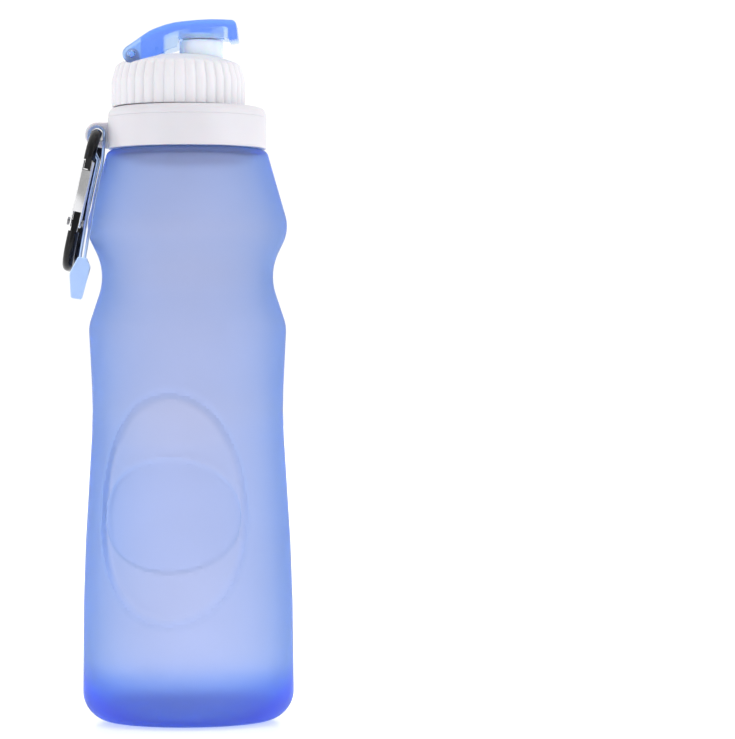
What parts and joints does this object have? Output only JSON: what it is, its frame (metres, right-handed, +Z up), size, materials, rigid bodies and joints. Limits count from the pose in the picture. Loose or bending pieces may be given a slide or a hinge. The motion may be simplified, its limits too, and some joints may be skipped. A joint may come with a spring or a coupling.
{
  "type": "folding water bottle",
  "caption": "Upright soft silicone bottle with a folding waist, hard collar with eyelet, ribbed screw cap, nozzle under a flip lid, carabiner and strap.",
  "frame": {"origin": "centre of the flat base, where the bottle stands", "axes": "+Z up along the bottle's axis, +X towards the nozzle, -X towards the eyelet, the carabiner's gate faces -Y"},
  "size_m": [0.0771, 0.0708, 0.2349],
  "materials": {
    "body_silicone": "frosted translucent blue silicone",
    "white_plastic": "satin white moulded plastic",
    "clear_silicone": "milky translucent silicone",
    "lid_plastic": "translucent blue plastic",
    "black_aluminium": "glossy black anodised",
    "bright_steel": "bright stamped steel",
    "strap_silicone": "pale translucent blue silicone"
  },
  "bodies": {
    "bottle": {"silicone_body": "body_silicone", "collar": "white_plastic", "neck_insert": "white_plastic"},
    "gasket": {"cap_gasket": "clear_silicone"},
    "cap": {"screw_cap": "white_plastic", "nozzle": "clear_silicone", "lid_pin": "lid_plastic"},
    "lid": {"flip_lid": "lid_plastic", "lid_seal": "clear_silicone"},
    "carabiner": {"carabiner_frame": "black_aluminium", "gate_rivet": "bright_steel"},
    "gate": {"gate": "bright_steel", "gate_catch_pin": "bright_steel", "gate_spring": "bright_steel"},
    "strap": {"strap": "strap_silicone"}
  },
  "joints": [
    {"name": "cap_lift", "type": "slide", "parent": "bottle", "child": "gasket", "axis": [0, 0, 1], "range_m": [0, 0.006]},
    {"name": "cap_turn", "type": "hinge", "parent": "gasket", "child": "cap", "pos_m": [0, 0, 0.2062], "axis": [0, 0, 1], "range_deg": [0, 541]},
    {"name": "lid_hinge", "type": "hinge", "parent": "cap", "child": "lid", "pos_m": [-0.0182, 0, 0.2235], "axis": [0, -1, 0], "range_deg": [0, 120]},
    {"name": "carabiner_swing", "type": "hinge", "parent": "bottle", "child": "carabiner", "pos_m": [-0.0302, 0, 0.1969], "axis": [0, 1, 0], "range_deg": [0, 100]},
    {"name": "gate_hinge", "type": "hinge", "parent": "carabiner", "child": "gate", "pos_m": [-0.03674, -0.0106, 0.16711], "axis": [-0.9767, 0, 0.2146], "range_deg": [0, 38], "stiffness_Nm_per_rad": 0.02, "springref_deg": -22.92},
    {"name": "strap_swing", "type": "hinge", "parent": "carabiner", "child": "strap", "pos_m": [-0.0302, 0, 0.1969], "axis": [0, 1, 0], "range_deg": [-90, 0]}
  ],
  "couplings": [
    {"joint": "cap_turn", "follows": "cap_lift", "rad_per_m": 1570.8},
    {"joint": "strap_swing", "follows": "carabiner_swing", "ratio": -0.9}
  ]
}
